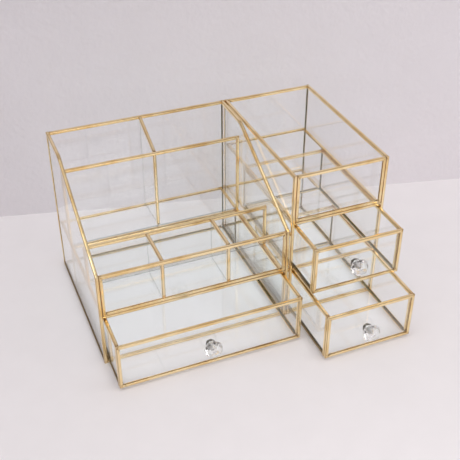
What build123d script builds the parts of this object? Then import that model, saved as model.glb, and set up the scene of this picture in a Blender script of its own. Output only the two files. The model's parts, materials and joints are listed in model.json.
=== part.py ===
"""Glass vanity organiser: a stepped open section beside a drawer tower.

Clear glass sheets are edged with folded brass channel and angle.  The stepped
section has two open rows, a row of three cells and a wide drawer under its
shelf.  The tower has an open tray above two drawers.  Each drawer slides
forward out of its bay and carries a faceted crystal knob.

Units are millimetres.  +Z is up and the drawers open towards -Y.  The origin
is the centre of the footprint, drawers as stored, on the surface it stands on.
"""

from build123d import *
import os

# Sheet and strip stock
GLASS_THICKNESS = 2.0
BRASS_WALL = 0.7
CHANNEL_WIDTH = 3.5
CHANNEL_DEPTH = 3.3
SLOT_WIDTH = 2.1
ANGLE_LEG = 3.0
ANGLE_LEG_UNDER = 5.0
SEAM = 0.1

# Where glass lies inside the brass
GLASS_IN_CHANNEL = 1.0
HALF_CHANNEL = CHANNEL_WIDTH / 2
GLASS_INNER_FACE = HALF_CHANNEL + GLASS_THICKNESS / 2
BESIDE_CHANNEL = CHANNEL_WIDTH + SEAM
BESIDE_GLASS = GLASS_INNER_FACE + SEAM
PAST_CHANNEL_DEPTH = CHANNEL_DEPTH + SEAM
CLIPPED_CORNER = 3.2

# Case
CASE_DEPTH = 187.0
STOREY_HEIGHT = 59.7
CASE_HEIGHT = 3 * STOREY_HEIGHT
STEPPED_WIDTH = 208.4
TOWER_WIDTH = 109.6
SECTION_GAP = 1.7
CASE_WIDTH = STEPPED_WIDTH + SECTION_GAP + TOWER_WIDTH

# Stepped section's rows, measured from the outer back face
TOP_FLAT_LENGTH = 55.6
SLOPE_END_HEIGHT = 113.6
BACK_ROW_DEPTH = 54.9
BACK_ROW_HEIGHT = 160.2
MIDDLE_ROW_DEPTH = 132.9
FRONT_ROW_HEIGHT = 113.5
BACK_DIVIDER_FROM_LEFT = 106.1
FRONT_DIVIDERS_FROM_LEFT = (69.2, 140.8)

# Drawers
DRAWER_HEIGHT = 55.0
DRAWER_DEPTH = 180.0
DRAWER_SIDE_CLEARANCE = 0.5
DRAWER_FLOOR_CLEARANCE = 0.4
WIDE_DRAWER_PULL = 44.4
UPPER_DRAWER_PULL = 47.2
LOWER_DRAWER_PULL = 83.4

# Knob and its fixing; it sits a little left of and below the front's middle
KNOB_LEFT_OF_MIDDLE = 2.2
KNOB_BELOW_MIDDLE = 2.2
CRYSTAL_SIDES = 10
# Distance from the collar and radius of each ring of the cut crystal
CRYSTAL_RINGS = ((0.0, 4.6), (3.6, 8.8), (6.2, 9.8), (10.2, 8.0), (13.6, 4.8))
COLLAR_LENGTH = 1.4
COLLAR_FLANGE_THICKNESS = 0.7
COLLAR_FLANGE_RADIUS = 5.2
COLLAR_NECK_RADIUS = 4.4
COLLAR_EDGE_ROUND = 0.25
SCREW_RADIUS = 2.0
SCREW_HOLE_RADIUS = 2.25
CRYSTAL_BORE_RADIUS = 2.05
CRYSTAL_BORE_DEPTH = 7.0
SCREW_IN_CRYSTAL = 6.5
SCREW_HEAD_RADIUS = 3.9
SCREW_HEAD_THICKNESS = 2.3
SCREW_SLOT_WIDTH = 1.0
SCREW_SLOT_DEPTH = 1.1
WASHER_RADIUS = 5.2
WASHER_THICKNESS = 0.8

# Solder bridges that tie the two sections together
BRIDGE_DEPTH = 3.0
BRIDGE_HEIGHT = 3.2

# Positions that follow
GLASS_SETBACK = HALF_CHANNEL - GLASS_THICKNESS / 2
CRYSTAL_LENGTH = CRYSTAL_RINGS[-1][0]
KNOB_PROJECTION = COLLAR_LENGTH + CRYSTAL_LENGTH - GLASS_SETBACK
CASE_FRONT = (LOWER_DRAWER_PULL + KNOB_PROJECTION - CASE_DEPTH) / 2
CASE_BACK = CASE_FRONT + CASE_DEPTH
STEPPED_LEFT = -CASE_WIDTH / 2
STEPPED_RIGHT = STEPPED_LEFT + STEPPED_WIDTH
TOWER_LEFT = STEPPED_RIGHT + SECTION_GAP
TOWER_RIGHT = CASE_WIDTH / 2
SHELF_TOP = STOREY_HEIGHT + CHANNEL_WIDTH
ROW_FLOOR = SHELF_TOP + SEAM / 2
BACK_ROW_Y = CASE_BACK - BACK_ROW_DEPTH
MIDDLE_ROW_Y = CASE_BACK - MIDDLE_ROW_DEPTH
FRONT_PANE_Y = CASE_FRONT + HALF_CHANNEL
BACK_PANE_Y = CASE_BACK - HALF_CHANNEL
TRAY_FLOOR_TOP = 2 * STOREY_HEIGHT + CHANNEL_WIDTH


def side_plane(x):
    """Upright plane facing +X; its own x runs to the back and its own y runs up."""
    return Plane(origin=(x, 0, 0), x_dir=(0, 1, 0), z_dir=(1, 0, 0))


def front_plane(y):
    """Upright plane facing the front; its own x is X and its own y runs up."""
    return Plane(origin=(0, y, 0), x_dir=(1, 0, 0), z_dir=(0, -1, 0))


def floor_plane(z):
    """Level plane at height z."""
    return Plane.XY.offset(z)


def save(piece, name):
    """Label a finished piece and write it as its own STEP file."""
    piece.part.label = name
    export_step(piece.part, f"parts/{name}.step")


def rectangle(low_x, low_y, high_x, high_y):
    """Corners of a rectangle, anticlockwise from the lowest."""
    return [(low_x, low_y), (high_x, low_y), (high_x, high_y), (low_x, high_y)]


def inward(start, end):
    """Unit vector to the left of the edge from start to end."""
    return (Vector(*end) - Vector(*start)).normalized().rotate(Axis.Z, 90)


def inset(outline, index, closed, depth):
    """Corner of an anticlockwise outline, moved in by depth along its mitre."""
    here = Vector(*outline[index])
    normals = []
    if closed or index > 0:
        normals.append(inward(outline[index - 1], outline[index]))
    if closed or index < len(outline) - 1:
        normals.append(inward(outline[index], outline[(index + 1) % len(outline)]))
    if len(normals) == 1:
        return here + normals[0] * depth
    share = depth / (1 + normals[0].dot(normals[1]))
    return here + (normals[0] + normals[1]) * share


def strip_corners(outline, index, closed, outer, inner, trim):
    """Four corners of the mitred strip along one edge, between two insets."""
    following = (index + 1) % len(outline)
    along = (Vector(*outline[following]) - Vector(*outline[index])).normalized() * trim
    return [
        inset(outline, index, closed, outer) + along,
        inset(outline, following, closed, outer) - along,
        inset(outline, following, closed, inner) - along,
        inset(outline, index, closed, inner) + along,
    ]


def add_channels(plane, outline, closed=False):
    """Brass channel along each edge of an anticlockwise outline, open inward.

    The strips are mitred at the corners, where a hairline seam keeps them apart.
    """
    edge_count = len(outline) if closed else len(outline) - 1
    for index in range(edge_count):
        body = strip_corners(outline, index, closed, 0, CHANNEL_DEPTH, SEAM / 2)
        slot = strip_corners(outline, index, closed, BRASS_WALL, CHANNEL_DEPTH, 0)
        with BuildSketch(plane) as body_sketch:
            Polygon(*body, align=None)
        extrude(body_sketch.sketch, amount=CHANNEL_WIDTH / 2, both=True)
        with BuildSketch(plane) as slot_sketch:
            Polygon(*slot, align=None)
        extrude(slot_sketch.sketch, amount=SLOT_WIDTH / 2, both=True, mode=Mode.SUBTRACT)


def add_pane(plane, outline):
    """Sheet of glass with the given outline, centred on the plane."""
    with BuildSketch(plane) as sheet:
        Polygon(*outline, align=None)
    extrude(sheet.sketch, amount=GLASS_THICKNESS / 2, both=True)


def add_angle(corner, first, second, first_leg, second_leg, length):
    """Brass angle from its outer corner, running along first cross second."""
    run = Plane(origin=corner, x_dir=first, z_dir=Vector(*first).cross(Vector(*second)))
    with BuildSketch(run) as section:
        Rectangle(first_leg, BRASS_WALL, align=(Align.MIN, Align.MIN))
        Rectangle(BRASS_WALL, second_leg, align=(Align.MIN, Align.MIN))
    extrude(section.sketch, amount=length)


def framed_glass_outline(outline):
    """Outline of a pane whose every edge sits the same way inside its strip."""
    return [inset(outline, index, True, GLASS_IN_CHANNEL) for index in range(len(outline))]


def make_side(name, x, outline, channel_run):
    """Side pane of a section and the channels on its free edges."""
    with BuildPart() as glass:
        add_pane(side_plane(x), framed_glass_outline(outline))
    save(glass, f"{name}_glass")
    with BuildPart() as frame:
        add_channels(side_plane(x), channel_run)
    save(frame, f"{name}_frame")


def back_glass_outline(left, right, bottom, top):
    """Back pane's outline, its top corners clipped to clear the side channels."""
    low_x = left + BESIDE_GLASS
    high_x = right - BESIDE_GLASS
    low_z = bottom + GLASS_IN_CHANNEL
    high_z = top - GLASS_IN_CHANNEL
    return [
        (low_x, low_z),
        (high_x, low_z),
        (high_x, high_z - CLIPPED_CORNER),
        (high_x - CLIPPED_CORNER, high_z),
        (low_x + CLIPPED_CORNER, high_z),
        (low_x, high_z - CLIPPED_CORNER),
    ]


def add_back_strips(left, right, back, bottom, top):
    """Channel on a back pane's top edge and angles up its two corners."""
    top_run = [(right - BESIDE_CHANNEL, top), (left + BESIDE_CHANNEL, top)]
    add_channels(front_plane(back - HALF_CHANNEL), top_run)
    rise = top - PAST_CHANNEL_DEPTH - bottom
    add_angle((left, back, bottom), (0, -1, 0), (1, 0, 0), ANGLE_LEG, ANGLE_LEG, rise)
    add_angle((right, back, bottom), (-1, 0, 0), (0, -1, 0), ANGLE_LEG, ANGLE_LEG, rise)


def add_bottom_angles(left, right, front, back, bottom):
    """Angles under a bottom pane, along its two sides and its back."""
    side_length = back - ANGLE_LEG - SEAM - front
    back_length = right - left - 2 * (ANGLE_LEG_UNDER + SEAM)
    add_angle((left, front, bottom), (0, 0, 1), (1, 0, 0), ANGLE_LEG, ANGLE_LEG_UNDER, side_length)
    add_angle((right, front, bottom), (-1, 0, 0), (0, 0, 1), ANGLE_LEG_UNDER, ANGLE_LEG, side_length)
    add_angle(
        (left + ANGLE_LEG_UNDER + SEAM, back, bottom),
        (0, -1, 0),
        (0, 0, 1),
        ANGLE_LEG_UNDER,
        ANGLE_LEG,
        -back_length,
    )


def make_back(name, left, right):
    """Back pane of a section, its top channel and its two corner angles."""
    with BuildPart() as glass:
        add_pane(front_plane(BACK_PANE_Y), back_glass_outline(left, right, 0, CASE_HEIGHT))
    save(glass, f"{name}_glass")
    with BuildPart() as frame:
        add_back_strips(left, right, CASE_BACK, 0, CASE_HEIGHT)
    save(frame, f"{name}_frame")


def make_bottom(name, left, right):
    """Bottom pane of a section, its front channel and the angles under it."""
    low_x = left + BESIDE_CHANNEL
    high_x = right - BESIDE_CHANNEL
    front_edge = CASE_FRONT + GLASS_IN_CHANNEL
    with BuildPart() as glass:
        add_pane(
            floor_plane(HALF_CHANNEL),
            rectangle(low_x, front_edge, high_x, CASE_BACK - BESIDE_GLASS),
        )
    save(glass, f"{name}_glass")
    with BuildPart() as frame:
        add_channels(floor_plane(HALF_CHANNEL), [(low_x, CASE_FRONT), (high_x, CASE_FRONT)])
        add_bottom_angles(left, right, CASE_FRONT + PAST_CHANNEL_DEPTH, CASE_BACK, 0)
    save(frame, f"{name}_frame")


def make_shelf(name, left, right, underside):
    """Level pane between a section's sides, with channel on all four edges."""
    level = floor_plane(underside + HALF_CHANNEL)
    outline = rectangle(
        left + BESIDE_CHANNEL, CASE_FRONT, right - BESIDE_CHANNEL, CASE_BACK - BESIDE_GLASS
    )
    with BuildPart() as glass:
        add_pane(level, framed_glass_outline(outline))
    save(glass, f"{name}_glass")
    with BuildPart() as frame:
        add_channels(level, outline, closed=True)
    save(frame, f"{name}_frame")


def make_row_panel(name, y, top):
    """Cross panel standing on the shelf, with channel up its ends and over its top."""
    low_x = STEPPED_LEFT + BESIDE_GLASS
    high_x = STEPPED_RIGHT - BESIDE_GLASS
    with BuildPart() as glass:
        add_pane(
            front_plane(y),
            rectangle(
                low_x + GLASS_IN_CHANNEL, ROW_FLOOR, high_x - GLASS_IN_CHANNEL, top - GLASS_IN_CHANNEL
            ),
        )
    save(glass, f"{name}_glass")
    with BuildPart() as frame:
        add_channels(
            front_plane(y),
            [(high_x, ROW_FLOOR), (high_x, top), (low_x, top), (low_x, ROW_FLOOR)],
        )
    save(frame, f"{name}_frame")


def make_front_pane(name, left, right, bottom, top):
    """Fixed front pane between a section's front posts, channel all round."""
    outline = rectangle(left + BESIDE_CHANNEL, bottom, right - BESIDE_CHANNEL, top)
    with BuildPart() as glass:
        add_pane(front_plane(FRONT_PANE_Y), framed_glass_outline(outline))
    save(glass, f"{name}_glass")
    with BuildPart() as frame:
        add_channels(front_plane(FRONT_PANE_Y), outline, closed=True)
    save(frame, f"{name}_frame")


def make_dividers(name, positions, front_y, back_y, front_top, back_top):
    """Dividers along Y, with channel over the top and down the front edge.

    The top strip ends square, so a sloping one starts short of the back.
    """
    rise = Vector(back_y - front_y, back_top - front_top).normalized()
    lean = CHANNEL_DEPTH * rise.Y
    strip_start = (back_y - lean, back_top - lean * rise.Y / rise.X)
    with BuildPart() as glass:
        for x in positions:
            add_pane(
                side_plane(x),
                [
                    (front_y + GLASS_IN_CHANNEL, ROW_FLOOR),
                    (back_y, ROW_FLOOR),
                    (back_y, back_top - GLASS_IN_CHANNEL),
                    (front_y + GLASS_IN_CHANNEL, front_top - GLASS_IN_CHANNEL),
                ],
            )
    save(glass, f"{name}_glass")
    with BuildPart() as frame:
        for x in positions:
            add_channels(
                side_plane(x),
                [strip_start, (front_y, front_top), (front_y, ROW_FLOOR)],
            )
    save(frame, f"{name}_frame")


def knob_place(left, right, bottom):
    """X and Z of the knob on a drawer's front."""
    middle = (left + right) / 2
    return middle - KNOB_LEFT_OF_MIDDLE, bottom + DRAWER_HEIGHT / 2 - KNOB_BELOW_MIDDLE


def make_drawer_glass(name, left, right, bottom, face):
    """Five panes of a drawer; the front one is drilled for the knob's screw."""
    top = bottom + DRAWER_HEIGHT
    back = face + DRAWER_DEPTH
    side_front = face + BESIDE_CHANNEL
    with BuildPart() as front_glass:
        add_pane(
            front_plane(face + HALF_CHANNEL),
            framed_glass_outline(rectangle(left, bottom, right, top)),
        )
        with BuildSketch(front_plane(face + HALF_CHANNEL)):
            with Locations(knob_place(left, right, bottom)):
                Circle(SCREW_HOLE_RADIUS)
        extrude(amount=GLASS_THICKNESS, both=True, mode=Mode.SUBTRACT)
    save(front_glass, f"{name}_front_glass")
    with BuildPart() as side_glass:
        for x in (left + HALF_CHANNEL, right - HALF_CHANNEL):
            add_pane(
                side_plane(x),
                framed_glass_outline(rectangle(side_front, bottom, back, top)),
            )
    save(side_glass, f"{name}_side_glass")
    with BuildPart() as back_glass:
        add_pane(
            front_plane(back - HALF_CHANNEL),
            back_glass_outline(left, right, bottom, top),
        )
    save(back_glass, f"{name}_back_glass")
    with BuildPart() as bottom_glass:
        add_pane(
            floor_plane(bottom + HALF_CHANNEL),
            rectangle(left + BESIDE_CHANNEL, side_front, right - BESIDE_CHANNEL, back - BESIDE_GLASS),
        )
    save(bottom_glass, f"{name}_bottom_glass")


def make_drawer_frame(name, left, right, bottom, face):
    """Brass edging of a drawer."""
    top = bottom + DRAWER_HEIGHT
    back = face + DRAWER_DEPTH
    side_front = face + BESIDE_CHANNEL
    with BuildPart() as frame:
        add_channels(front_plane(face + HALF_CHANNEL), rectangle(left, bottom, right, top), closed=True)
        for x in (left + HALF_CHANNEL, right - HALF_CHANNEL):
            add_channels(side_plane(x), [(back, top), (side_front, top), (side_front, bottom)])
        add_back_strips(left, right, back, bottom, top)
        add_bottom_angles(left, right, side_front + PAST_CHANNEL_DEPTH, back, bottom)
    save(frame, f"{name}_frame")


def make_knob(name, x, z, face):
    """Cut crystal knob, its collar, and the screw and washer that hold it."""
    glass_face = face + GLASS_SETBACK
    collar_end = front_plane(glass_face).offset(COLLAR_LENGTH)
    with BuildPart() as collar:
        with BuildSketch(front_plane(glass_face)):
            with Locations((x, z)):
                Circle(COLLAR_FLANGE_RADIUS)
        extrude(amount=COLLAR_FLANGE_THICKNESS)
        with BuildSketch(front_plane(glass_face)):
            with Locations((x, z)):
                Circle(COLLAR_NECK_RADIUS)
        extrude(amount=COLLAR_LENGTH)
        rims = collar.edges().filter_by(GeomType.CIRCLE).group_by(SortBy.RADIUS)[-1]
        fillet(rims.sort_by(Axis.Y)[0], radius=COLLAR_EDGE_ROUND)
        with BuildSketch(front_plane(glass_face)):
            with Locations((x, z)):
                Circle(SCREW_HOLE_RADIUS)
        extrude(amount=COLLAR_LENGTH, mode=Mode.SUBTRACT)
    save(collar, f"{name}_knob_collar")
    with BuildPart() as crystal:
        for distance, radius in CRYSTAL_RINGS:
            with BuildSketch(collar_end.offset(distance)):
                with Locations((x, z)):
                    RegularPolygon(radius=radius, side_count=CRYSTAL_SIDES)
        loft(ruled=True)
        with BuildSketch(collar_end):
            with Locations((x, z)):
                Circle(CRYSTAL_BORE_RADIUS)
        extrude(amount=CRYSTAL_BORE_DEPTH, mode=Mode.SUBTRACT)
    save(crystal, f"{name}_knob_crystal")
    washer_plane = front_plane(face + GLASS_INNER_FACE)
    head_plane = front_plane(face + GLASS_INNER_FACE + WASHER_THICKNESS)
    shank_length = WASHER_THICKNESS + GLASS_THICKNESS + COLLAR_LENGTH + SCREW_IN_CRYSTAL
    with BuildPart() as screw:
        with BuildSketch(head_plane):
            with Locations((x, z)):
                Circle(SCREW_HEAD_RADIUS)
        extrude(amount=-SCREW_HEAD_THICKNESS)
        with BuildSketch(head_plane.offset(-SCREW_HEAD_THICKNESS)):
            with Locations((x, z)):
                Rectangle(2 * SCREW_HEAD_RADIUS, SCREW_SLOT_WIDTH)
        extrude(amount=SCREW_SLOT_DEPTH, mode=Mode.SUBTRACT)
        with BuildSketch(head_plane):
            with Locations((x, z)):
                Circle(SCREW_RADIUS)
        extrude(amount=shank_length)
        with BuildSketch(washer_plane):
            with Locations((x, z)):
                Circle(WASHER_RADIUS)
                Circle(SCREW_HOLE_RADIUS, mode=Mode.SUBTRACT)
        extrude(amount=-WASHER_THICKNESS + SEAM / 2)
    save(screw, f"{name}_knob_screw")


def make_drawer(name, section_left, section_right, bay_floor, pull):
    """One drawer, drawn out of its bay by pull."""
    left = section_left + CHANNEL_WIDTH + DRAWER_SIDE_CLEARANCE
    right = section_right - CHANNEL_WIDTH - DRAWER_SIDE_CLEARANCE
    bottom = bay_floor + CHANNEL_WIDTH + DRAWER_FLOOR_CLEARANCE
    face = CASE_FRONT - pull
    make_drawer_glass(name, left, right, bottom, face)
    make_drawer_frame(name, left, right, bottom, face)
    make_knob(name, *knob_place(left, right, bottom), face)


def make_stepped_section():
    """Left-hand section: sloping sides, two rows, three cells and a drawer bay."""
    knee = CASE_BACK - TOP_FLAT_LENGTH
    outline = [
        (CASE_FRONT, 0),
        (CASE_BACK, 0),
        (CASE_BACK, CASE_HEIGHT),
        (knee, CASE_HEIGHT),
        (CASE_FRONT, SLOPE_END_HEIGHT),
    ]
    channel_run = [*outline[2:], outline[0]]
    make_side("stepped_outer_side", STEPPED_LEFT + HALF_CHANNEL, outline, channel_run)
    make_side("stepped_inner_side", STEPPED_RIGHT - HALF_CHANNEL, outline, channel_run)
    make_back("stepped_back", STEPPED_LEFT, STEPPED_RIGHT)
    make_bottom("stepped_bottom", STEPPED_LEFT, STEPPED_RIGHT)
    make_shelf("stepped_shelf", STEPPED_LEFT, STEPPED_RIGHT, STOREY_HEIGHT)
    make_row_panel("back_row_panel", BACK_ROW_Y, BACK_ROW_HEIGHT)
    make_row_panel("middle_row_panel", MIDDLE_ROW_Y, FRONT_ROW_HEIGHT)
    make_front_pane("front_row_panel", STEPPED_LEFT, STEPPED_RIGHT, ROW_FLOOR, FRONT_ROW_HEIGHT)
    make_dividers(
        "back_row_divider",
        [STEPPED_LEFT + BACK_DIVIDER_FROM_LEFT],
        BACK_ROW_Y + HALF_CHANNEL + SEAM,
        CASE_BACK - BESIDE_CHANNEL,
        BACK_ROW_HEIGHT,
        CASE_HEIGHT,
    )
    make_dividers(
        "front_row_dividers",
        [STEPPED_LEFT + offset for offset in FRONT_DIVIDERS_FROM_LEFT],
        CASE_FRONT + BESIDE_CHANNEL,
        MIDDLE_ROW_Y - HALF_CHANNEL - SEAM,
        FRONT_ROW_HEIGHT,
        FRONT_ROW_HEIGHT,
    )


def make_tower():
    """Right-hand section: a tray on top of two drawer bays."""
    outline = rectangle(CASE_FRONT, 0, CASE_BACK, CASE_HEIGHT)
    channel_run = [*outline[2:], outline[0]]
    make_side("tower_inner_side", TOWER_LEFT + HALF_CHANNEL, outline, channel_run)
    make_side("tower_outer_side", TOWER_RIGHT - HALF_CHANNEL, outline, channel_run)
    make_back("tower_back", TOWER_LEFT, TOWER_RIGHT)
    make_bottom("tower_bottom", TOWER_LEFT, TOWER_RIGHT)
    make_shelf("tower_shelf", TOWER_LEFT, TOWER_RIGHT, STOREY_HEIGHT)
    make_shelf("tray_floor", TOWER_LEFT, TOWER_RIGHT, 2 * STOREY_HEIGHT)
    make_front_pane("tray_front", TOWER_LEFT, TOWER_RIGHT, TRAY_FLOOR_TOP + SEAM, CASE_HEIGHT)


def make_solder_bridges():
    """Small brass blocks soldered between the two sections at their corners."""
    top = CASE_HEIGHT - BRIDGE_HEIGHT
    front = CASE_FRONT
    back = CASE_BACK - BRIDGE_DEPTH
    corners = (
        (front, 0),
        (front, STOREY_HEIGHT),
        (front, SLOPE_END_HEIGHT - 2 * BRIDGE_HEIGHT),
        (back, 0),
        (back, STOREY_HEIGHT),
        (back, top),
    )
    with BuildPart() as bridges:
        for y, z in corners:
            with BuildSketch(side_plane(STEPPED_RIGHT)):
                with Locations((y, z)):
                    Rectangle(BRIDGE_DEPTH, BRIDGE_HEIGHT, align=(Align.MIN, Align.MIN))
            extrude(amount=SECTION_GAP)
    save(bridges, "solder_bridges")


def main():
    """Build every piece of the organiser."""
    os.makedirs("parts", exist_ok=True)
    make_stepped_section()
    make_tower()
    make_solder_bridges()
    make_drawer("wide_drawer", STEPPED_LEFT, STEPPED_RIGHT, 0, WIDE_DRAWER_PULL)
    make_drawer("upper_drawer", TOWER_LEFT, TOWER_RIGHT, STOREY_HEIGHT, UPPER_DRAWER_PULL)
    make_drawer("lower_drawer", TOWER_LEFT, TOWER_RIGHT, 0, LOWER_DRAWER_PULL)


main()
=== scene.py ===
"""Looks of a glass vanity organiser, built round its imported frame.

Every clear sheet gets ground edges, every brass strip is carried along the
edge it holds with folded corners and soldered joints, and each drawer gets a
cut crystal knob on a thin nickel ring.  Lengths are in metres, +Z is up and the
drawers open towards -Y.
"""

from __future__ import annotations

import json
import logging
import math
from dataclasses import dataclass, field, replace
from enum import Enum

import bmesh
import bpy
import numpy as np
from mathutils import Matrix, Vector
from mathutils.geometry import tessellate_polygon

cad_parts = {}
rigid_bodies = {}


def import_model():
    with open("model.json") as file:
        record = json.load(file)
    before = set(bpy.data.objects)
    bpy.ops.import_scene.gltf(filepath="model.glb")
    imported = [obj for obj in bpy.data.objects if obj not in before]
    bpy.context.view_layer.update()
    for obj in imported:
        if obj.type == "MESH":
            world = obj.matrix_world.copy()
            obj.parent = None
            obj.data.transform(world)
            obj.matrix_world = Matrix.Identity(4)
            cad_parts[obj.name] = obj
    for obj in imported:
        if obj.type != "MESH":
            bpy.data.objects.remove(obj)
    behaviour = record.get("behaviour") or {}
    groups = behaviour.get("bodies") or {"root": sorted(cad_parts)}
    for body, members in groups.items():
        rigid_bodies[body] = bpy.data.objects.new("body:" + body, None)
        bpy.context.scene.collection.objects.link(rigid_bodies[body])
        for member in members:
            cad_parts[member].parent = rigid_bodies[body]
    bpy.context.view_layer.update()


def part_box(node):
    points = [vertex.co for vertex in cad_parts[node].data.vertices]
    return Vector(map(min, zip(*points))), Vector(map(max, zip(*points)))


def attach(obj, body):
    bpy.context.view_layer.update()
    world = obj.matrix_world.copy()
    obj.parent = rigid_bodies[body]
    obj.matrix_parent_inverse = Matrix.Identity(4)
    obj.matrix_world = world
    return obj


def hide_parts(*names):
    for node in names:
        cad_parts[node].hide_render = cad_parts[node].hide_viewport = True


LOG = logging.getLogger("organiser")

# Sheet and strip stock
CHANNEL_WIDTH = 0.0035
CHANNEL_DEPTH = 0.0033
STRIP_WALL = 0.0007
SLOT_WIDTH = 0.0021
FOLD_RADIUS = 0.00075
LIP_RADIUS = 0.00022
LIP_BAND = 0.0007
ANGLE_LEG = 0.003
ANGLE_LEG_UNDER = 0.005
SEAM = 0.0001
HALF_CHANNEL = CHANNEL_WIDTH / 2
BESIDE_CHANNEL = CHANNEL_WIDTH + SEAM
PAST_DEPTH = CHANNEL_DEPTH + SEAM
ARRIS = 0.00028
MARKS = ("joint", "lip", "fold")

# Hand bending: distance between stations, the sway's height and two waves, and
# how far a joint is felt along a strip
STATION_STEP = 0.005
SWAY = 0.00004
LONG_WAVE = 0.011
SHORT_WAVE = 0.0047
SHORT_SHARE = 0.6
SEED_PHASE = 1.7
SHORT_PHASE = 2.3
JOINT_REACH = 0.0035

# Solder lumps: how proud they stand, where they sit, how far they reach and how
# uneven they are, and the dark lumps of painted shadow at the front ends of the level strips
SOLDER_PROUD = 0.00008
LUMP_INWARD = CHANNEL_DEPTH * 0.62
LUMP_HALF_WIDTH = HALF_CHANNEL * 1.25
LUMP_REACH = 0.0015
BRIDGE_SWELL = 1.3
LONG_SWELL = 0.10
SHORT_SWELL = 0.07
GAP_SHADOW_RADII = np.array([0.0013, 0.0012, 0.0011])
GAP_SHADOW_BACK = 0.0009
GAP_SHADOW_UP = 0.0010

# Stepped section's side outline
TOP_FLAT_LENGTH = 0.0556
SLOPE_END_HEIGHT = 0.1136

# Drilled drawer front
SCREW_HOLE_RADIUS = 0.00225
HOLE_MARGIN = 0.001

# How finely round shapes are made, and a collar's chart length for each radian
ARC_STEPS = 4
HOLE_SIDES = 32
COLLAR_SIDES = 48
COLLAR_CHART = 0.004
LUMP_SIDES = 14
LUMP_RINGS = 8

# Widest angles, in degrees, that are shaded smooth
SMOOTH_FOLDS = 32.0
SMOOTH_LUMPS = 80.0
SMOOTH_FACETS = 1.0

# Surface marks: depth of the drawn grain, and the colour of dust
GRAIN_HEIGHT = 0.0004
DUST_COLOUR = (0.93, 0.92, 0.90)

# Numbers set aside for the bends and lumps of one drawer
SEEDS_PER_DRAWER = 40

# Distances under which two places are one, and decimals that places are rounded to
SAME_PLACE = 1e-6
WELD_DISTANCE = 1e-7
PLACE_DIGITS = 6

Point = tuple[float, float, float]


class Body(str, Enum):
    """Rigid bodies of the frame."""

    CASE = "case"
    WIDE = "wide_drawer"
    UPPER = "upper_drawer"
    LOWER = "lower_drawer"


class Slot(str, Enum):
    """Material slots of the record."""

    GLASS = "sheet_glass"
    BRASS = "brass_strip"
    SOLDER = "solder"
    CRYSTAL = "cut_crystal"
    COLLAR = "knob_collar"
    SCREW = "knob_screw"


class Facing(Enum):
    """The axis that a flat sheet's faces look along."""

    SIDE = 0
    FRONT = 1
    LEVEL = 2


@dataclass(frozen=True)
class Board:
    """A drawing plane with its own x and y."""

    origin: Point
    along: Point
    rise: Point

    @property
    def face(self) -> np.ndarray:
        """The way the board faces, along cross rise."""
        return np.cross(self.along, self.rise)

    def place(self, flat: np.ndarray, off: np.ndarray) -> np.ndarray:
        """Put flat points, and distances off the board, into the object's frame.

        Args:
            flat: Points on the board, any shape ending in 2.
            off: Distance off the board of each point.

        Returns:
            The points in the object's frame, any shape ending in 3.
        """
        x_part = flat[..., 0:1] * np.array(self.along)
        y_part = flat[..., 1:2] * np.array(self.rise)
        return np.array(self.origin) + x_part + y_part + off[..., None] * self.face


def side_board(x: float) -> Board:
    """Return an upright board facing +X, its x towards the back and its y up."""
    return Board((x, 0, 0), (0, 1, 0), (0, 0, 1))


def front_board(y: float) -> Board:
    """Return an upright board facing the front, its x along X and its y up."""
    return Board((0, y, 0), (1, 0, 0), (0, 0, 1))


def level_board(z: float) -> Board:
    """Return a level board facing up."""
    return Board((0, 0, z), (1, 0, 0), (0, 1, 0))


def board_for(facing: Facing, at: float) -> Board:
    """Return the board of a sheet that faces along one axis at a place on it."""
    makers = {Facing.SIDE: side_board, Facing.FRONT: front_board, Facing.LEVEL: level_board}
    return makers[facing](at)


def rectangle(left: float, low: float, right: float, high: float) -> list[tuple[float, float]]:
    """Return a rectangle's corners, anticlockwise from its low left one."""
    return [(left, low), (right, low), (right, high), (left, high)]


@dataclass
class Shape:
    """Points and faces of one closed shape, with a chart and its point masks."""

    points: np.ndarray
    faces: list[tuple[int, ...]]
    chart: np.ndarray | None = None
    marks: dict[str, np.ndarray] = field(default_factory=dict)


def grid_faces(rows: int, columns: int, wrap_rows: bool, wrap_columns: bool) -> np.ndarray:
    """Join a grid of points, stored row by row, into quads.

    Args:
        rows: Number of rows.
        columns: Number of points in a row.
        wrap_rows: Whether the last row joins the first.
        wrap_columns: Whether a row's last point joins its first.

    Returns:
        One row of four point numbers for each quad.
    """
    row = np.arange(rows if wrap_rows else rows - 1)
    column = np.arange(columns if wrap_columns else columns - 1)
    here, across = np.meshgrid(row, column, indexing="ij")
    below = (here + 1) % rows
    beside = (across + 1) % columns
    corners = [
        here * columns + across,
        here * columns + beside,
        below * columns + beside,
        below * columns + across,
    ]
    return np.stack([c.ravel() for c in corners], axis=1)


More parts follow.
